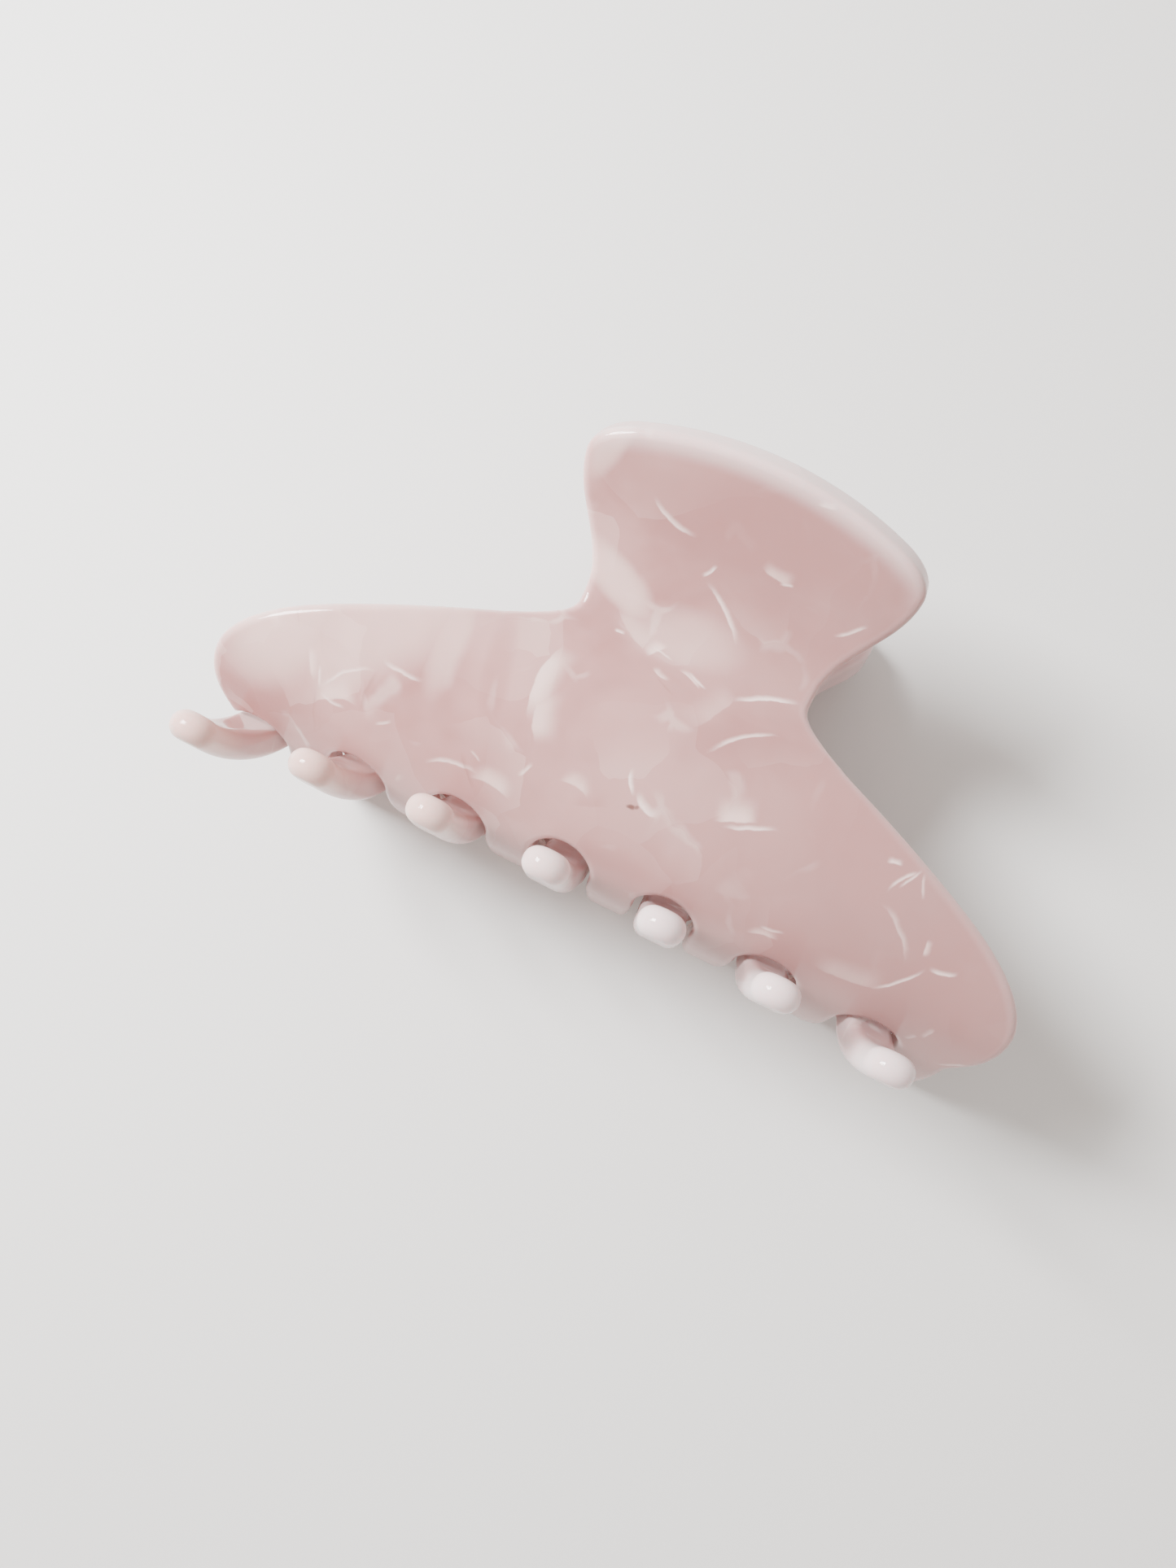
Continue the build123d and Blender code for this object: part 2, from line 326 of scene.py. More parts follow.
OUTLINE = jaw_outline()
HEM_S = float(OUTLINE[:, 1].min())
TEETH_X = [PITCH * (i - (TEETH - 1) / 2) + TEETH_SHIFT for i in range(TEETH)]
TEETH_END_S = [tooth_end_s(x) for x in TEETH_X]
SLOTS = [
    (x - 2 * TEETH_SHIFT,
     s_at(x, SLOT_TOP_Y - SLOT_TOP_DROP * abs(x - 2 * TEETH_SHIFT) / END_TOOTH_X) - SLOT_HALF_WIDTH)
    for x in TEETH_X
]


def teeth_field(x, s):
    """Signed distance to the row of teeth, each a bar with a round end that starts inside the jaw."""
    field = np.full_like(x, FAR)
    for tooth_x, end_s in zip(TEETH_X, TEETH_END_S):
        half_width = TIP_HALF_WIDTH + (TOOTH_HALF_WIDTH - TIP_HALF_WIDTH) * ramp(s, end_s, HEM_S)
        low = end_s + TIP_HALF_WIDTH
        high = HEM_S + 1
        beyond = np.maximum(np.maximum(low - s, s - high), 0)
        field = np.minimum(field, np.hypot(x - tooth_x, beyond) - half_width)
    return field


def slots_field(x, s):
    """Signed distance to the slots between the teeth, each with a round top and open below."""
    field = np.full_like(x, FAR)
    for slot_x, round_s in SLOTS:
        field = np.minimum(field, np.hypot(x - slot_x, np.maximum(s - round_s, 0)) - SLOT_HALF_WIDTH)
    return field


def pattern_field(x, s):
    """Signed distance to the outline of the flat jaw, teeth and slots included."""
    body = distance(np.column_stack([x, s]), OUTLINE)
    solid = np.minimum(body, teeth_field(x, s))
    return smooth_max(solid, -slots_field(x, s), CORNER_ROUND)


def rounded_plate(across, n, half_thickness, radius):
    """Field of a plate with rounded edges, from the signed distance to its outline and the height N."""
    side = across + radius
    lid = np.abs(n) - half_thickness + radius
    return np.hypot(np.maximum(side, 0), np.maximum(lid, 0)) + np.minimum(np.maximum(side, lid), 0) - radius


def jaw_field(across, s, n):
    """Field of the flat jaw. Its teeth get thinner and rounder towards their tips."""
    share = ramp(s, HEM_S, max(TEETH_END_S) + TIP_HALF_WIDTH)
    half_thickness = HALF_SHEET + (TIP_HALF_THICKNESS - HALF_SHEET) * share
    return rounded_plate(across, n, half_thickness, EDGE_ROUND + (TIP_ROUND - EDGE_ROUND) * share)


# --- Meshes from fields ---------------------------------------------------------------------------

def surface_net(field, low, step):
    """Vertices and quads of the surface where a gridded field is zero, one vertex in a cell it crosses."""
    cells = np.array(field.shape) - 1
    total = np.zeros((*cells, 3))
    count = np.zeros(cells)
    crossings = []
    unit = np.eye(3, dtype=int)
    for axis in range(3):
        a = np.moveaxis(np.moveaxis(field, axis, 0)[:-1], 0, axis)
        b = np.moveaxis(np.moveaxis(field, axis, 0)[1:], 0, axis)
        at = np.argwhere((a < 0) != (b < 0))
        first, second = a[tuple(at.T)], b[tuple(at.T)]
        point = at + (first / (first - second))[:, None] * unit[axis]
        u, v = unit[(axis + 1) % 3], unit[(axis + 2) % 3]
        around = [at - u - v, at - v, at, at - u]
        for cell in around:
            np.add.at(total, tuple(cell.T), point)
            np.add.at(count, tuple(cell.T), 1)
        crossings.append((around, first < 0))
    used = count > 0
    number = np.zeros(cells, int)
    number[used] = np.arange(used.sum())
    quads = []
    for around, leaving in crossings:
        ring = np.column_stack([number[tuple(cell.T)] for cell in around])
        quads.append(np.where(leaving[:, None], ring, ring[:, ::-1]))
    vertices = low + step * total[used] / count[used][:, None]
    return vertices, np.concatenate(quads)


def settle(points, field, rounds=1):
    """Points moved onto the surface where field is zero."""
    for _ in range(rounds):
        value = field(points)
        slope = np.column_stack([(field(points + NUDGE * axis) - value) / NUDGE for axis in np.eye(3)])
        steep = np.maximum((slope**2).sum(axis=1), 0.25)
        points = points - (value / steep)[:, None] * slope
    return points


def grid(low, high, step):
    """The axes of a grid that covers a box with two steps to spare."""
    return [np.arange(a - 2 * step, b + 3 * step, step) for a, b in zip(low, high)]


def in_model(points):
    """Points of the clip's own frame, in mm, as points of the row frame, in metres."""
    return (points - (0, MIDDLE_Y, -REST_Z)) * MM


def add_mesh(name, points, faces, pattern, material, body, node, rim=None):
    """A smooth mesh that rides on a body and stands for a CAD node.

    pattern is where each vertex lies in the sheet. rim is 1 on the sheet's cut edges and 0 away from them.
    """
    mesh = bpy.data.meshes.new(name)
    mesh.from_pydata(in_model(points).tolist(), [], [list(face) for face in faces])
    mesh.polygons.foreach_set("use_smooth", [True] * len(mesh.polygons))
    layer = mesh.attributes.new("sheet", "FLOAT_VECTOR", "POINT")
    layer.data.foreach_set("vector", pattern.astype(np.float32).ravel())
    if rim is not None:
        layer = mesh.attributes.new("rim", "FLOAT", "POINT")
        layer.data.foreach_set("value", rim.astype(np.float32))
    mesh.materials.append(material)
    mesh.update()
    piece = bpy.data.objects.new(name, mesh)
    bpy.context.scene.collection.objects.link(piece)
    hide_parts(node)
    if body:
        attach(piece, body)
    return piece


def turned_over(points):
    """The same place on the back jaw, which is the front jaw turned half a turn about Y."""
    return points * (-1, 1, -1)


# --- Jaws -----------------------------------------------------------------------------------------

def settle_rim(points):
    """Points of the flat jaw moved onto its rounded edges, near which the outline is taken as straight."""
    x, s, _ = points.T
    across = pattern_field(x, s)
    slope_x = (pattern_field(x + NUDGE, s) - across) / NUDGE
    slope_s = (pattern_field(x, s + NUDGE) - across) / NUDGE

    def field(at):
        there = across + slope_x * (at[:, 0] - x) + slope_s * (at[:, 1] - s)
        return jaw_field(there, at[:, 1], at[:, 2])

    return settle(points, field, 4)


def flat_jaw():
    """The jaw's mesh while it is flat, as (x, s, n) and quads."""
    low = np.array([-JAW_END[0], min(TEETH_END_S), -HALF_SHEET])
    high = np.array([JAW_END[0], GRIP_TOP_S, HALF_SHEET])
    xs, ss, ns = grid(low, high, JAW_STEP)
    x, s = (axis.ravel() for axis in np.meshgrid(xs, ss, indexing="ij"))
    field = jaw_field(pattern_field(x, s)[:, None], s[:, None], ns).reshape(len(xs), len(ss), len(ns))
    points, quads = surface_net(field, np.array([xs[0], ss[0], ns[0]]), JAW_STEP)
    rim = pattern_field(points[:, 0], points[:, 1]) > -TIP_ROUND - 2 * JAW_STEP
    points[rim] = settle_rim(settle_rim(points[rim]))
    return points, quads


def bent(points):
    """Points of the flat sheet, (x, s, n), where the bent sheet takes them. A tooth leans as a whole."""
    x, s, n = points.T
    centres = np.array(TEETH_X)
    nearest = centres[np.abs(x[:, None] - centres).argmin(axis=1)]
    whole = ramp(s, HEM_S + LEAN_REACH, HEM_S - LEAN_REACH)
    heading, place = section(end_share(x + (nearest - x) * whole), s)
    y, z = (place + n[:, None] * normal(heading)).T
    return np.column_stack([x, y, z])


def make_jaws(material):
    """Both jaws, of one shape and from two places of the sheet."""
    flat, quads = flat_jaw()
    front = bent(flat)
    rim = np.clip(1 + pattern_field(flat[:, 0], flat[:, 1]) / SHEEN_RIM_WIDTH, 0, 1)
    add_mesh("front_jaw_polished", front, quads, flat, material, "front", "front_jaw", rim)
    elsewhere = flat + ELSEWHERE
    add_mesh("back_jaw_polished", turned_over(front), quads, elsewhere, material, "back", "back_jaw", rim)


# --- Hinge ----------------------------------------------------------------------------------------

def sheet_section():
    """The closed section of the sheet round the waist, as (y, z)."""
    s = np.linspace(-HOOK_R / 2, GRIP_TOP_S, 70)
    heading, place = section(np.zeros_like(s), s)
    out = HALF_SHEET * normal(heading)
    return np.concatenate([place + out, (place - out)[::-1]])


SHEET_SECTION = sheet_section()
LUG_WEB = np.array([
    (-KNUCKLE_R, 0), (KNUCKLE_R, 0), (LUG_BASE / 2, LUG_REACH), (-LUG_BASE / 2, LUG_REACH),
])


def lug_field(points, bore_r):
    """Field of a lug, with x from its middle. It runs a little into the sheet, with a fillet of weld."""
    x, y, z = points.T
    side = np.column_stack([y - PIVOT_Y, z])
    from_pivot = np.hypot(*side.T)
    across = np.minimum(from_pivot - KNUCKLE_R, distance(side, LUG_WEB))
    to_sheet = distance(np.column_stack([y, z]), SHEET_SECTION)
    flare = np.clip(1 - to_sheet / WELD_FILLET, 0, 1.5) ** 2 * WELD_FILLET / 2
    across = np.maximum(across - flare, bore_r - from_pivot)
    plate = rounded_plate(across, np.maximum(np.abs(x) - flare, 0), LUG_THICKNESS / 2, LUG_ROUND)
    return np.maximum(plate, -to_sheet - WELD_DEPTH)


def lug_mesh(bore_r):
    """A lug of the front jaw with x from its middle, as points and quads."""
    low = np.array([-LUG_THICKNESS / 2 - WELD_FILLET, PIVOT_Y - LUG_BASE / 2 - WELD_FILLET, -KNUCKLE_R])
    high = np.array([LUG_THICKNESS / 2 + WELD_FILLET, PIVOT_Y + LUG_BASE / 2 + WELD_FILLET, LUG_REACH + 1])
    axes = grid(low, high, LUG_STEP)
    points = np.stack(np.meshgrid(*axes, indexing="ij"), axis=-1).reshape(-1, 3)
    field = lug_field(points, bore_r).reshape([len(axis) for axis in axes])
    points, quads = surface_net(field, np.array([axis[0] for axis in axes]), LUG_STEP)
    return settle(points, lambda at: lug_field(at, bore_r)), quads


def make_lugs(material):
    """Two lugs to each jaw, the front jaw's between the back jaw's."""
    outer_x = INNER_LUG_X + LUG_THICKNESS + LUG_GAP
    for body, lug_x, bore_r in (("front", INNER_LUG_X, PIN_R + PIN_PLAY), ("back", outer_x, PIN_R)):
        lug, quads = lug_mesh(bore_r)
        for side, sign in (("left", -1), ("right", 1)):
            points = lug + (sign * (lug_x + LUG_THICKNESS / 2), 0, 0)
            faces = quads
            if body == "back":
                points = points * (1, 1, -1)
                faces = quads[:, ::-1]
            node = f"{body}_lug_{side}"
            pattern = points + (0, LUGS_S + sign * LUG_SPACING_S, 0)
            add_mesh(f"{node}_welded", points, faces, pattern, material, body, node)


def lathed(profile, segments=48):
    """A profile of (x, radius) turned about the pin's axis. It starts and ends on the axis."""
    points = [(profile[0][0], 0, 0)]
    for x, radius in profile[1:-1]:
        for i in range(segments):
            angle = 2 * math.pi * i / segments
            points.append((x, radius * math.cos(angle), radius * math.sin(angle)))
    points.append((profile[-1][0], 0, 0))
    last = len(points) - 1
    faces = []
    for i in range(segments):
        after = (i + 1) % segments
        faces.append((0, 1 + after, 1 + i))
        faces.append((last, last - segments + i, last - segments + after))
        for ring in range(len(profile) - 3):
            low, high = 1 + ring * segments, 1 + (ring + 1) * segments
            faces.append((low + i, low + after, high + after, high + i))
    return np.array(points) + (0, PIVOT_Y, 0), faces


def dome(x, towards, height, radius, rings=10, corner_rings=5):
    """Profile points of a shallow dome with a rounded rim, from its top at x down to its rim."""
    corner = DOME_CORNER
    points = [(x, 0.0)]
    for i in range(1, rings + 1):
        share = i / rings
        points.append((x + towards * height * DOME_RISE * share**2, (radius - corner) * share))
    start = x + towards * height * DOME_RISE
    for i in range(1, corner_rings + 1):
        angle = math.pi / 2 * i / corner_rings
        rim_x = start + towards * corner * (1 - math.cos(angle))
        points.append((rim_x, radius - corner * (1 - math.sin(angle))))
    return points


def make_pin(material):
    """The hinge pin with its domed head, and the crimped cap on its other end."""
    end_x = INNER_LUG_X + 2 * LUG_THICKNESS + LUG_GAP
    head = dome(-end_x - PIN_HEAD_THICKNESS, 1, PIN_HEAD_THICKNESS, PIN_HEAD_R)
    shaft_end = end_x + PIN_TIP_LENGTH
    shaft = [(-end_x, PIN_HEAD_R), (-end_x, PIN_R), (shaft_end - PIN_TIP_CHAMFER, PIN_R)]
    tip = [(shaft_end, PIN_R - PIN_TIP_CHAMFER), (shaft_end, 0)]
    points, faces = lathed([*head, *shaft, *tip])
    add_mesh("hinge_pin_domed", points, faces, points, material, "back", "hinge_pin")
    top = dome(end_x + CAP_THICKNESS, -1, CAP_THICKNESS, PIN_HEAD_R)
    waist_x = end_x + CAP_THICKNESS * CRIMP_HEIGHT
    crimp = [
        (waist_x + CRIMP_HALF_WIDTH, PIN_HEAD_R),
        (waist_x, PIN_HEAD_R - CRIMP_DEPTH),
        (waist_x - CRIMP_HALF_WIDTH, PIN_HEAD_R),
    ]
    rim = [(end_x + CAP_EDGE, PIN_HEAD_R), (end_x, PIN_HEAD_R - CAP_EDGE), (end_x, 0)]
    points, faces = lathed([*top, *crimp, *rim])
    faces = [face[::-1] for face in faces]
    add_mesh("pin_cap_crimped", points, faces, points, material, "back", "pin_cap")


def leg_angle():
    """How far each leg of the closed spring turns from +Y. Its tip stands just off its grip's inner face."""
    radius, heading = BENDS_UP[-1]
    centre = GRIP_FLAT_START + radius * normal(heading)
    reach = math.hypot(LEG_LENGTH, COIL_R)
    away = centre - (PIVOT_Y, 0)
    far = math.hypot(*away)
    stand_off = radius + HALF_SHEET + WIRE_R + LEG_CLEARANCE
    cosine = (reach**2 + far**2 - stand_off**2) / (2 * reach * far)
    return math.atan2(away[1], away[0]) - math.acos(cosine) - math.atan2(COIL_R, LEG_LENGTH)


def spring_path():
    """The wire's middle line: a leg, the coil and the other leg."""
    leg = leg_angle()
    turns = COIL_TURNS + (math.pi - 2 * leg) / (2 * math.pi)
    half_height = turns * COIL_PITCH / 2
    share = np.linspace(0, 1, 260)
    angle = leg + math.pi / 2 + 2 * math.pi * turns * share
    coil = np.column_stack([
        half_height * (2 * share - 1), PIVOT_Y + COIL_R * np.cos(angle), COIL_R * np.sin(angle)
    ])
    away = np.linspace(LEG_LENGTH, 0, 40, endpoint=False)[:, None]
    first = coil[0] - coil[1]
    last = coil[-1] - coil[-2]
    start = coil[0] + away * first / np.linalg.norm(first)
    end = coil[-1] + away[::-1] * last / np.linalg.norm(last)
    return np.concatenate([start, coil, end]), half_height


def tube(path, radius, segments=16):
    """A round wire along a path, with domed ends."""
    along = np.gradient(path, axis=0)
    along /= np.linalg.norm(along, axis=1)[:, None]
    side = np.cross(along[0], (1, 0, 0))
    rings = []
    cap = [(math.sin(a), 1 - math.cos(a)) for a in np.linspace(0.25, math.pi / 2, 5, endpoint=False)]
    turns = 2 * math.pi * np.arange(segments) / segments
    for i, (at, ahead) in enumerate(zip(path, along)):
        side = side - ahead * (side @ ahead)
        side /= np.linalg.norm(side)
        ring = np.cos(turns)[:, None] * side + np.sin(turns)[:, None] * np.cross(ahead, side)
        if i == 0:
            rings += [at - ahead * radius * (1 - rise) + ring * radius * wide for wide, rise in cap]
        rings.append(at + ring * radius)
        if i == len(path) - 1:
            rings += [at + ahead * radius * (1 - rise) + ring * radius * wide for wide, rise in cap[::-1]]
    points = np.concatenate(rings)
    faces = []
    for ring in range(len(rings) - 1):
        low, high = ring * segments, (ring + 1) * segments
        for i in range(segments):
            after = (i + 1) % segments
            faces.append((low + i, low + after, high + after, high + i))
    faces.append(tuple(range(segments))[::-1])
    faces.append(tuple(range(len(points) - segments, len(points))))
    return points, faces


def make_spring(material):
    """The spring's wire: a coil about the hinge and a straight leg at each end."""
    path, half_height = spring_path()
    points, faces = tube(path, WIRE_R)
    length = np.concatenate([[0], np.cumsum(np.linalg.norm(np.diff(points, axis=0), axis=1))])
    pattern = np.column_stack([length, points[:, 1], points[:, 2]])
    spring = add_mesh("torsion_spring_wire", points, faces, pattern, material, None, "torsion_spring")
    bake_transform(spring)


# --- Materials ------------------------------------------------------------------------------------

ROSE = (0.345, 0.14, 0.14, 1)
PEARL = (0.465, 0.238, 0.232, 1)
MILK = (0.84, 0.64, 0.605, 1)
# A pale lilac for painted sheen on the rims and painted light on the tips of the teeth
LIT_LILAC = (0.92, 0.80, 0.81, 1)
GLINT = (0.94, 0.78, 0.75, 1)
# A mauve that paints shade
SHADED_MAUVE = (0.29, 0.145, 0.145, 1)
SHADE = (0.26, 0.09, 0.085, 1)
PEACH = (0.84, 0.58, 0.51, 1)
FLECK = (0.09, 0.015, 0.012, 1)

# S where painted light starts to turn the tips of the teeth pale, and where they are palest
PALE_FROM = -33.0
PALE_TO = -43.0

# The back jaw's tips go from white to warm between these X. The front jaw's are all warm.
WARM_TIPS = (ELSEWHERE[0] - 8, ELSEWHERE[0] + 24)

# Painted shade: the front jaw gets more mauve towards its +X end, and along its hem apart from the -X end
SHADED_END_X = (-22.0, 48.0)
SHADED_HEM_S = (-10.0, -19.0)
SHADED_HEM_X = (-34.0, -6.0)

# S where the grip's rim pales with painted sheen, and how deep the subsurface colour reaches, in mm
GRIP_SHEEN_S = (30.0, 38.0)
GLOW_DEPTH = 1.6

# The front jaw's marks, some of them painted light and shade. A zone or a fleck is x, s, angle, half length,
# half width and strength. A patch, a streak or a shade is x, s, angle, half length, width, bow and strength.
ROSE_AND_SHADE_ZONES = (
    (3.0, 33.0, 0.0, 17.0, 8.0, 0.85),
    (9.0, 24.5, -15.0, 9.0, 5.0, 0.45),
    (3.0, -12.5, 0.0, 6.0, 3.5, 0.5),
    # Painted shade: the next two zones darken the +X wing; the others are the acetate's rosy clouds
    (24.0, 4.0, -40.0, 14.0, 7.0, 0.45),
    (41.0, -6.0, -50.0, 9.0, 6.0, 0.4),
    (-41.5, -4.5, -60.0, 4.0, 3.0, 0.2),
    (-18.5, 1.5, -72.0, 8.0, 2.0, 0.45),
)
MILK_AND_LIGHT_ZONES = (
    (-11.5, 19.5, -28.0, 8.0, 3.0, 0.6),
    (-24.8, 2.0, -80.0, 7.0, 2.6, 0.4),
    # Painted light: the next three zones lighten the -X wing; the others are milky pearl
    (-33.0, 0.0, 35.0, 13.0, 7.0, 0.45),
    (-44.0, 1.0, 60.0, 9.0, 6.0, 0.5),
    (-43.0, -4.0, 60.0, 10.0, 7.0, 0.55),
    (-2.0, 16.0, 10.0, 9.0, 5.0, 0.35),
    (-17.5, 34.5, 75.0, 6.0, 2.2, 0.5),
)
# Milky pearl patches, partly pearl and partly painted sheen along their crisp side
SHEEN_PATCHES = (
    (-14.3, 2.5, -87.0, 4.6, 3.4, 0.35, 0.9),
    (-12.6, -1.2, -70.0, 3.0, 3.4, 0.2, 0.7),
    (-34.2, -8.8, 20.0, 2.9, 3.2, -0.2, 0.7),
    (-38.4, -6.4, -65.0, 2.0, 1.2, 0.0, 0.7),
    (12.6, -1.9, 22.0, 2.6, 3.0, 0.0, 0.75),
    (4.8, 27.9, -6.0, 2.1, 1.8, 0.2, 0.6),
    (-3.6, 12.7, 60.0, 1.7, 1.9, 0.0, 0.9),
    (1.0, 10.9, -25.0, 1.8, 1.3, -0.3, 0.8),
    (-2.4, 9.0, -28.0, 1.4, 1.3, 0.2, 0.8),
    (-13.8, -9.8, -5.0, 2.9, 2.5, -0.3, 0.75),
    (-5.0, -5.6, -7.0, 2.1, 1.8, -0.3, 0.6),
    (21.0, -11.5, 15.0, 2.0, 1.2, -0.3, 0.6),
    (36.6, -4.6, -80.0, 1.0, 1.0, 0.0, 0.7),
    (41.4, -15.6, 60.0, 1.0, 0.9, 0.0, 0.6),
    (42.6, -13.6, 80.0, 1.2, 0.9, 0.0, 0.5),
    (-8.0, 13.6, -40.0, 4.0, 3.0, 0.3, 0.35),
    (6.0, 8.0, 70.0, 4.5, 3.5, 0.3, 0.3),
    (31.5, -12.0, 10.0, 4.5, 3.0, 0.2, 0.3),
)
# Pale pearl streaks with painted glints on them
GLINT_STREAKS = (
    (-8.4, 28.7, -20.0, 3.4, 0.9, 0.9, 0.75),
    (-1.8, 25.2, 62.0, 1.3, 0.8, 0.2, 0.9),
    (1.2, 21.3, -41.0, 4.4, 0.9, -0.6, 0.8),
    (9.8, 13.0, 30.0, 4.4, 1.0, -0.6, 0.95),
    (9.5, 6.0, 40.0, 4.6, 0.8, -0.7, 0.8),
    (0.2, -2.9, -58.0, 1.6, 0.8, 0.3, 0.95),
    (2.9, -4.8, -22.0, 1.9, 1.2, 0.5, 0.8),
    (14.4, -1.9, 22.0, 3.2, 0.7, 0.0, 0.85),
    (6.2, 27.8, 14.0, 0.9, 0.5, 0.0, 0.9),
    (15.1, 25.8, 45.0, 2.2, 0.7, 0.4, 0.8),
    (31.4, 0.3, 55.0, 2.0, 0.55, -0.8, 0.9),
    (32.2, 0.6, 61.0, 1.6, 0.5, 0.0, 0.9),
    (33.4, 0.5, -66.0, 1.4, 0.5, 0.0, 0.6),
    (29.8, 1.2, 6.0, 0.9, 0.8, 0.0, 0.8),
    (36.5, -9.2, 52.0, 3.2, 0.6, 0.7, 0.9),
    (39.8, -6.5, 12.0, 1.7, 0.7, 0.5, 0.85),
    (33.4, -4.4, -38.0, 3.6, 0.8, -0.9, 0.35),
    (47.3, -17.1, 49.0, 2.1, 0.6, 0.2, 0.9),
    (-37.0, -7.2, -75.0, 1.3, 0.6, 0.0, 0.75),
    (-33.9, -5.7, 38.0, 3.5, 0.6, -1.2, 0.85),
    (-28.0, -3.3, 0.0, 2.8, 0.7, 0.5, 0.75),
    (-34.6, -9.4, -10.0, 1.8, 0.6, 0.3, 0.85),
    (-27.8, -9.0, 35.0, 1.2, 0.6, 0.3, 0.7),
    (-19.0, -9.6, 15.0, 3.6, 0.8, -1.0, 0.75),
    (-10.5, -6.5, 60.0, 1.2, 0.7, 0.3, 0.75),
    (-8.7, 12.8, 0.0, 0.7, 0.8, 0.0, 0.9),
    (-3.2, 12.6, -14.0, 1.6, 0.5, 0.0, 0.9),
    (1.8, 11.0, -28.0, 1.5, 0.6, 0.3, 0.9),
    (6.5, 37.6, 10.0, 1.2, 0.9, 0.0, 0.8),
    (21.6, -10.6, 12.0, 1.5, 0.6, 0.2, 0.7),
    (-16.8, -7.6, -25.0, 1.0, 0.5, 0.0, 0.6),
)
FLECKS = (
    (1.7, -4.9, 12.0, 0.75, 0.32, 1.0),
    (2.3, -4.7, 30.0, 0.35, 0.25, 0.8),
)
SHADES = (
    (-31.3, -6.2, -95.0, 2.9, 0.8, 0.3, 0.4),
    (-17.2, -9.6, -52.0, 2.6, 0.8, 0.2, 0.45),
    (-41.7, -2.6, -56.0, 1.2, 0.35, 0.0, 0.4),
    (-36.6, -11.6, -81.0, 3.2, 0.6, 0.0, 0.3),
    (-1.4, 7.6, -30.0, 1.8, 0.6, 0.4, 0.45),
    (-2.6, -7.0, 20.0, 2.5, 2.2, 0.0, 0.25),
    (44.0, -12.0, -60.0, 3.0, 2.5, 0.0, 0.2),
)


def node(tree, kind, inputs=None, **settings):
    """A shader node. An input is a number, a tuple, or the socket or node that it is linked from."""
    made = tree.nodes.new(kind)
    for name, value in settings.items():
        setattr(made, name, value)
    for key, value in (inputs or {}).items():
        if isinstance(value, bpy.types.Node):
            value = value.outputs[0]
        if isinstance(value, bpy.types.NodeSocket):
            tree.links.new(value, made.inputs[key])
        else:
            made.inputs[key].default_value = value
    return made


def calc(tree, operation, *values):
    """The result of an operation on numbers."""
    return node(tree, "ShaderNodeMath", dict(enumerate(values)), operation=operation).outputs[0]


def vector(tree, operation, *values):
    """The result of an operation on vectors. A dot product comes out as a number."""
    made = node(tree, "ShaderNodeVectorMath", dict(enumerate(values)), operation=operation)
    return made.outputs["Value" if operation == "DOT_PRODUCT" else "Vector"]


def fade(tree, value, low, high, to_low=0.0, to_high=1.0):
    """A number that goes smoothly from to_low to to_high as value goes from low to high."""
    inputs = {"Value": value, "From Min": low, "From Max": high, "To Min": to_low, "To Max": to_high}
    return node(tree, "ShaderNodeMapRange", inputs, interpolation_type="SMOOTHSTEP").outputs["Result"]


def mix_colour(tree, share, a, b):
    """Colour a where share is 0 and b where it is 1."""
    made = node(tree, "ShaderNodeMix", data_type="RGBA")
    for key, value in ((0, share), (6, a), (7, b)):
        if isinstance(value, bpy.types.NodeSocket):
            tree.links.new(value, made.inputs[key])
        else:
            made.inputs[key].default_value = value
    return made.outputs[2]


def new_material(name, slot=None):
    """A material, and the slot of the record that it paints."""
    material = bpy.data.materials.new(name)
    if slot:
        material["slot"] = slot
    material.use_nodes = True
    tree = material.node_tree
    return material, tree, tree.nodes["Principled BSDF"]


def sheet_place(tree):
    """Where a point lies in its sheet, in mm."""
    return node(tree, "ShaderNodeAttribute", attribute_name="sheet").outputs["Vector"]


def warped(tree, place, size, shift):
    """place pushed about by up to shift mm, in waves of a size in mm."""
    waves = node(tree, "ShaderNodeTexNoise", {"Vector": place, "Scale": 1 / size, "Detail": 3.0})
    push = vector(tree, "SUBTRACT", waves.outputs["Color"], (0.5, 0.5, 0.5))
    return vector(tree, "ADD", place, vector(tree, "MULTIPLY", push, (4 * shift, 4 * shift, 4 * shift)))


def in_cells(tree, place, size):
    """place in cells of a size in mm, which are twice as deep through the sheet."""
    return vector(tree, "MULTIPLY", place, (1 / size, 1 / size, 0.5 / size))


def shards(tree, scaled):
    """A random number for each cell and a slope across it."""
    cells = node(tree, "ShaderNodeTexVoronoi", {"Vector": scaled, "Scale": 1.0, "Randomness": 1.0})
    aim = vector(tree, "SUBTRACT", cells.outputs["Color"], (0.5, 0.5, 0.5))
    offset = vector(tree, "SUBTRACT", scaled, cells.outputs["Position"])
    slope = vector(tree, "DOT_PRODUCT", vector(tree, "NORMALIZE", aim), offset)
    pick = node(tree, "ShaderNodeSeparateColor", {"Color": cells.outputs["Color"]})
    return pick.outputs["Red"], slope


def shard_edges(tree, scaled):
    """The distance to the nearest edge between cells, in cells."""
    inputs = {"Vector": scaled, "Scale": 1.0}
    return node(tree, "ShaderNodeTexVoronoi", inputs, feature="DISTANCE_TO_EDGE").outputs["Distance"]


def placed(tree, place, x, s, angle, half_length, width):
    """Coordinates along and across a mark of the sheet, 1 at its ends and at its far side."""
    cosine = math.cos(math.radians(angle))
    sine = math.sin(math.radians(angle))
    offset = vector(tree, "SUBTRACT", place, (x, s, 0.0))
    along = vector(tree, "DOT_PRODUCT", offset, (cosine / half_length, sine / half_length, 0.0))
    across = vector(tree, "DOT_PRODUCT", offset, (-sine / width, cosine / width, 0.0))
    return along, across


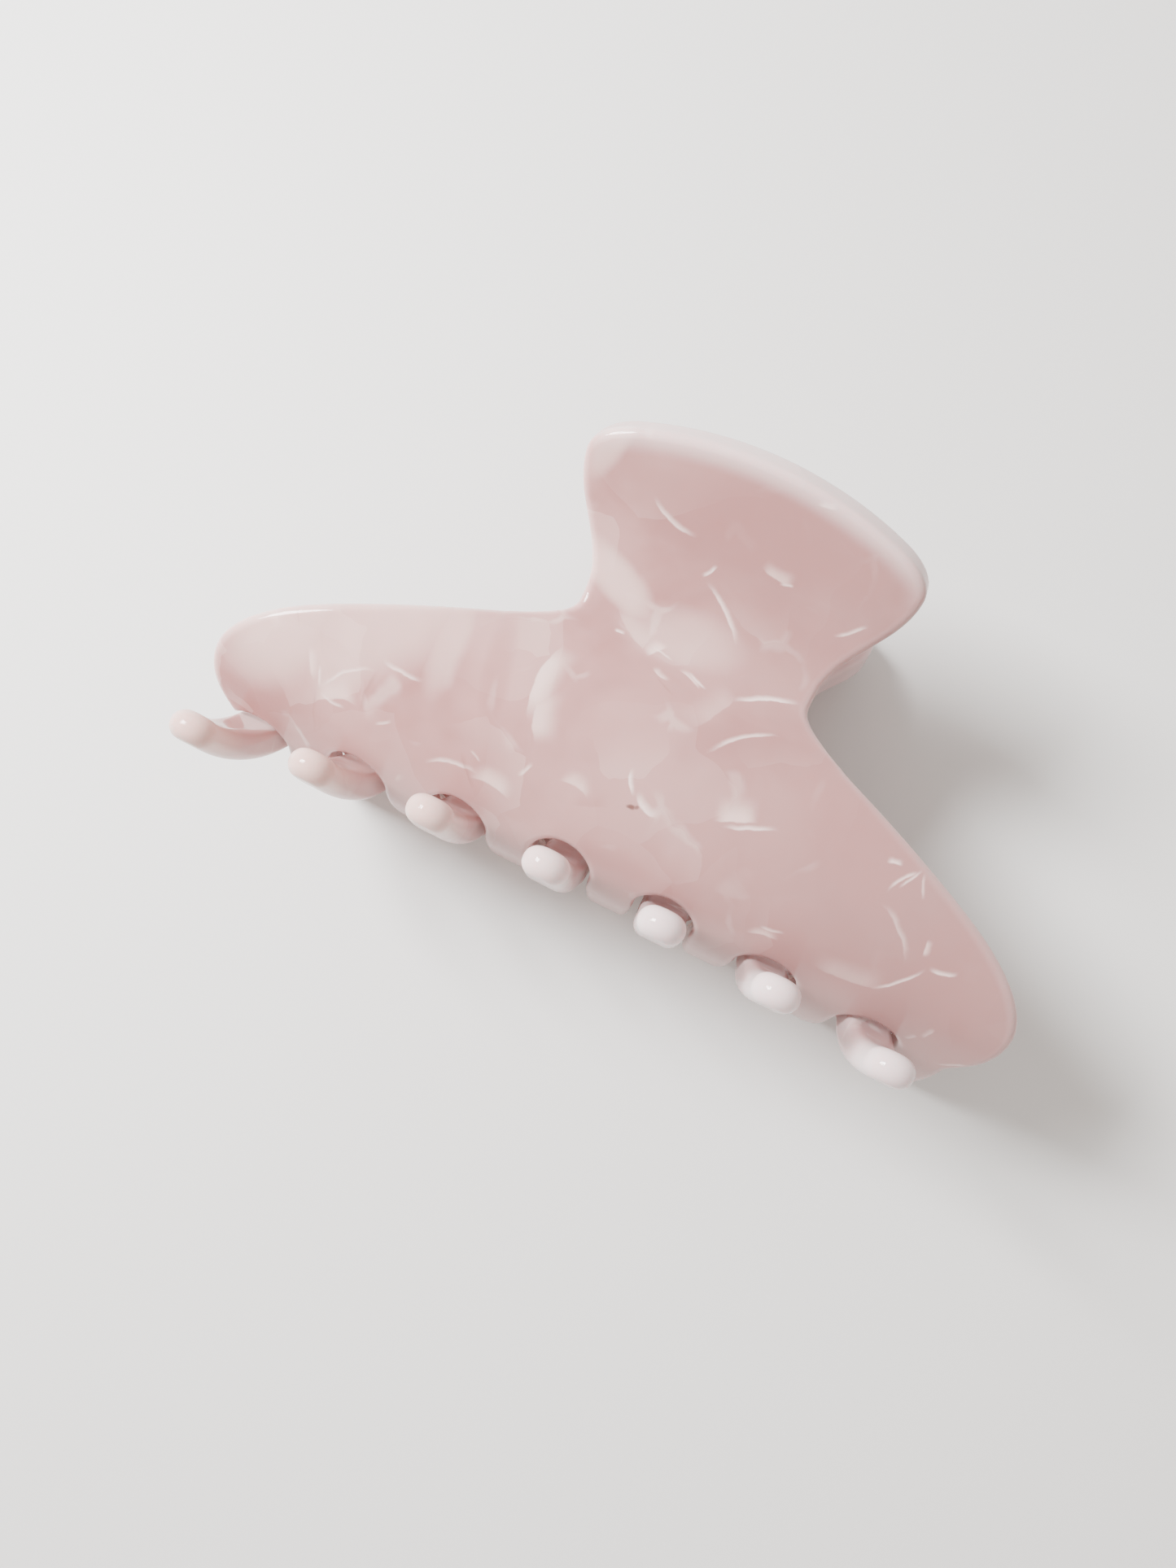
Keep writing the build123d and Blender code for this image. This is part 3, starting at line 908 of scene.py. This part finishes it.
def flake(tree, place, x, s, angle, half_length, width, bend, strength):
    """How much a flake shows: crisp on one long side, fading across its width. bend bows it, in widths."""
    along, across = placed(tree, place, x, s, angle, half_length, width)
    across = calc(tree, "MULTIPLY_ADD", calc(tree, "MULTIPLY", along, along), -bend, across)
    crisp = fade(tree, across, 0.0, 0.25 / width)
    fading = fade(tree, across, 1.0, 0.15)
    ends = fade(tree, calc(tree, "ABSOLUTE", along), 1.0, 0.3, 0.0, strength)
    return calc(tree, "MULTIPLY", calc(tree, "MULTIPLY", crisp, fading), ends)


def cloud(tree, place, x, s, angle, half_length, half_width, strength):
    """How much a soft oval zone shows."""
    along, across = placed(tree, place, x, s, angle, half_length, half_width)
    square = calc(tree, "MULTIPLY_ADD", along, along, calc(tree, "MULTIPLY", across, across))
    return fade(tree, square, 1.0, 0.05, 0.0, strength)


def strongest(tree, draw, place, marks):
    """How much the strongest of the marks shows."""
    total = draw(tree, place, *marks[0])
    for mark in marks[1:]:
        total = calc(tree, "MAXIMUM", total, draw(tree, place, *mark))
    return total


def acetate():
    """Pearly acetate: rosy clouds, soft-sided flakes with painted sheen, and the front jaw's own marks."""
    material, tree, shader = new_material("pearl_acetate", "acetate")
    place = sheet_place(tree)
    rippled = warped(tree, place, 9.0, 1.3)
    drifting = warped(tree, vector(tree, "ADD", place, (37.0, -21.0, 0.0)), 22.0, 4.0)
    inputs = {"Vector": drifting, "Scale": 0.07, "Detail": 3.0, "Roughness": 0.5}
    mist = node(tree, "ShaderNodeTexNoise", inputs)
    tone = mix_colour(tree, fade(tree, mist.outputs["Fac"], 0.32, 0.66), ROSE, PEARL)

    # Painted sheen, partly pearl: big milky shards, each paler towards one side
    pick, slope = shards(tree, in_cells(tree, drifting, 15.0))
    wide = calc(tree, "MULTIPLY", fade(tree, slope, -0.5, 0.5), fade(tree, pick, 0.35, 0.75))
    tone = mix_colour(tree, calc(tree, "MULTIPLY", wide, 0.16), tone, MILK)

    # Painted sheen, partly pearl: small milky shards, each paler towards one side
    small_cells = in_cells(tree, rippled, 7.5)
    pick, slope = shards(tree, small_cells)
    small = calc(tree, "MULTIPLY", fade(tree, slope, -0.15, 0.55), fade(tree, pick, 0.62, 0.72))
    tone = mix_colour(tree, calc(tree, "MULTIPLY", small, 0.22), tone, MILK)
    # Painted glints along some of the shard edges, over the pearl's pale seams
    gaps = node(tree, "ShaderNodeTexNoise", {"Vector": place, "Scale": 0.16, "Detail": 1.0})
    seams = fade(tree, shard_edges(tree, small_cells), 0.07, 0.015)
    fold_glints = calc(tree, "MULTIPLY", seams, fade(tree, gaps.outputs["Fac"], 0.58, 0.7))
    tone = mix_colour(tree, calc(tree, "MULTIPLY", fold_glints, 0.3), tone, GLINT)

    ruffled = warped(tree, place, 2.5, 0.18)
    x, s, n = node(tree, "ShaderNodeSeparateXYZ", {"Vector": place}).outputs
    outside = fade(tree, n, 0.2, 1.2)
    # Painted shade: the front jaw darkens to mauve towards its +X end
    tone = mix_colour(tree, fade(tree, x, *SHADED_END_X, 0.0, 0.85), tone, SHADED_MAUVE)
    for marks, draw, colour in (
        (ROSE_AND_SHADE_ZONES, cloud, ROSE),
        (MILK_AND_LIGHT_ZONES, cloud, MILK),
        (SHEEN_PATCHES, flake, MILK),
        (GLINT_STREAKS, flake, GLINT),
        (SHADES, flake, SHADE),
        (FLECKS, cloud, FLECK),
    ):
        share = calc(tree, "MULTIPLY", strongest(tree, draw, ruffled, marks), outside)
        tone = mix_colour(tree, share, tone, colour)

    # Painted reflection: a pale lilac rim along the cut edges, wider on the grip's top
    rim = node(tree, "ShaderNodeAttribute", attribute_name="rim").outputs["Fac"]
    rim_sheen = fade(tree, rim, 0.6, 1.0, 0.0, 0.22)
    grip_rim_sheen = calc(tree, "MULTIPLY", fade(tree, rim, 0.15, 0.85), fade(tree, s, *GRIP_SHEEN_S, 0.0, 0.55))
    tone = mix_colour(tree, calc(tree, "MAXIMUM", rim_sheen, grip_rim_sheen), tone, LIT_LILAC)
    # Painted shade along the hem, where the sheet turns down towards the table
    hem = calc(tree, "MULTIPLY", fade(tree, s, *SHADED_HEM_S), fade(tree, x, *SHADED_HEM_X, 0.0, 0.65))
    tone = mix_colour(tree, hem, tone, SHADED_MAUVE)
    # Painted light: the tips of the teeth turn pale
    tip = mix_colour(tree, fade(tree, x, *WARM_TIPS), LIT_LILAC, PEACH)
    tone = mix_colour(tree, fade(tree, s, PALE_FROM, PALE_TO, 0.15, 0.66), tone, tip)
    tree.links.new(tone, shader.inputs["Base Color"])
    shader.inputs["Roughness"].default_value = 0.3
    shader.inputs["Specular IOR Level"].default_value = 0.0
    shader.inputs["Subsurface Weight"].default_value = 0.7
    shader.inputs["Subsurface Radius"].default_value = (1.0, 0.55, 0.5)
    shader.inputs["Subsurface Scale"].default_value = GLOW_DEPTH * MM
    shader.inputs["Coat Weight"].default_value = 0.65
    shader.inputs["Coat Roughness"].default_value = 0.05
    shader.inputs["Coat IOR"].default_value = 1.5
    return material


# How much darker the worn parts of the metal are, and how deep its marks and the table's grain go
DULLED = 0.72
SCRATCH_DEPTH = 0.02
GRAIN_DEPTH = 0.05


def metal(name, slot, colour, roughness, along, across):
    """Worn bright metal with fine marks. along and across are marks per mm."""
    material, tree, shader = new_material(name, slot)
    place = sheet_place(tree)
    scaled = vector(tree, "MULTIPLY", place, (along, across, across))
    inputs = {"Vector": scaled, "Scale": 1.0, "Detail": 4.0, "Roughness": 0.6}
    marks = node(tree, "ShaderNodeTexNoise", inputs)
    dull = tuple(DULLED * c for c in colour)
    tone = mix_colour(tree, fade(tree, marks.outputs["Fac"], 0.35, 0.65), (*dull, 1), (*colour, 1))
    tree.links.new(tone, shader.inputs["Base Color"])
    shine = fade(tree, marks.outputs["Fac"], 0.3, 0.7, roughness * 0.6, roughness * 1.5)
    tree.links.new(shine, shader.inputs["Roughness"])
    inputs = {"Height": marks.outputs["Fac"], "Strength": 0.2, "Distance": SCRATCH_DEPTH * MM}
    tree.links.new(node(tree, "ShaderNodeBump", inputs).outputs["Normal"], shader.inputs["Normal"])
    shader.inputs["Metallic"].default_value = 1.0
    return material


# --- Table, light and camera ----------------------------------------------------------------------

TABLE_HALF_WIDTH = 2.0
TABLE_DULL = (0.76, 0.755, 0.745, 1)
TABLE_PALE = (0.80, 0.797, 0.79, 1)

# The window's middle and width in metres and its power in watts, and the rest of the room's light
WINDOW_AT = (-0.265, 0.03, 0.322)
WINDOW_WIDTH = 0.13
WINDOW_POWER = 5.3
WINDOW_COLOUR = (1.0, 1.0, 0.995)
ROOM_COLOUR = (1.0, 0.92, 0.86, 1)
ROOM_STRENGTH = 0.95

# The camera's place and its two directions on the model's own axes, and its lens, in mm
CAMERA_AT = (7.3, 4.9, 144.2)
CAMERA_AHEAD = (-0.085, 0.042, -0.995)
CAMERA_RIGHT = (0.894, 0.445, -0.058)
SENSOR_WIDTH = 36.0
LENS = 27.03


def make_table():
    """A pale painted table top, with the faint grain of its paint."""
    material, tree, shader = new_material("table_paint")
    place = node(tree, "ShaderNodeTexCoord").outputs["Object"]
    mottle = node(tree, "ShaderNodeTexNoise", {"Vector": place, "Scale": 9.0, "Detail": 3.0})
    grain = node(tree, "ShaderNodeTexNoise", {"Vector": place, "Scale": 900.0, "Detail": 2.0})
    tone = mix_colour(tree, mottle.outputs["Fac"], TABLE_DULL, TABLE_PALE)
    tree.links.new(tone, shader.inputs["Base Color"])
    inputs = {"Height": grain.outputs["Fac"], "Strength": 0.1, "Distance": GRAIN_DEPTH * MM}
    tree.links.new(node(tree, "ShaderNodeBump", inputs).outputs["Normal"], shader.inputs["Normal"])
    shader.inputs["Roughness"].default_value = 0.65
    half = TABLE_HALF_WIDTH
    mesh = bpy.data.meshes.new("table")
    corners = [(-half, -half, 0), (half, -half, 0), (half, half, 0), (-half, half, 0)]
    mesh.from_pydata(corners, [], [(0, 1, 2, 3)])
    mesh.materials.append(material)
    table = bpy.data.objects.new("table", mesh)
    bpy.context.scene.collection.objects.link(table)


def make_light():
    """A soft window that faces the clip from one side, in a room that lights it evenly."""
    lamp = bpy.data.lights.new("window", "AREA")
    lamp.size = WINDOW_WIDTH
    lamp.energy = WINDOW_POWER
    lamp.color = WINDOW_COLOUR
    light = bpy.data.objects.new("window", lamp)
    light.location = WINDOW_AT
    light.rotation_euler = (-Vector(WINDOW_AT)).to_track_quat("-Z", "Y").to_euler()
    bpy.context.scene.collection.objects.link(light)
    world = bpy.data.worlds.new("room")
    bpy.context.scene.world = world
    world.use_nodes = True
    background = world.node_tree.nodes["Background"]
    background.inputs["Color"].default_value = ROOM_COLOUR
    background.inputs["Strength"].default_value = ROOM_STRENGTH


def make_camera():
    """A phone's main lens, held over the clip and turned so that the clip lies aslant in the picture."""
    x, y, z = CAMERA_AT
    view_from = Vector((x, y - MIDDLE_Y, z + REST_Z)) * MM
    ahead = Vector(CAMERA_AHEAD).normalized()
    right = Vector(CAMERA_RIGHT)
    right = (right - ahead * right.dot(ahead)).normalized()
    up = right.cross(ahead)
    lens = bpy.data.cameras.new("camera")
    lens.sensor_width = SENSOR_WIDTH
    lens.lens = LENS
    lens.clip_start = 0.01
    camera = bpy.data.objects.new("camera", lens)
    turn = Matrix((right, up, -ahead)).transposed()
    camera.matrix_world = Matrix.Translation(view_from) @ turn.to_4x4()
    bpy.context.scene.collection.objects.link(camera)
    bpy.context.scene.camera = camera


pearl = acetate()
steel = metal("nickel_plate", "steel_pin", (0.80, 0.79, 0.77), 0.22, 2.0, 2.0)
wire = metal("spring_wire", "spring_steel", (0.66, 0.66, 0.67), 0.3, 0.4, 6.0)
make_jaws(pearl)
make_lugs(pearl)
make_pin(steel)
make_spring(wire)
make_table()
make_light()
make_camera()
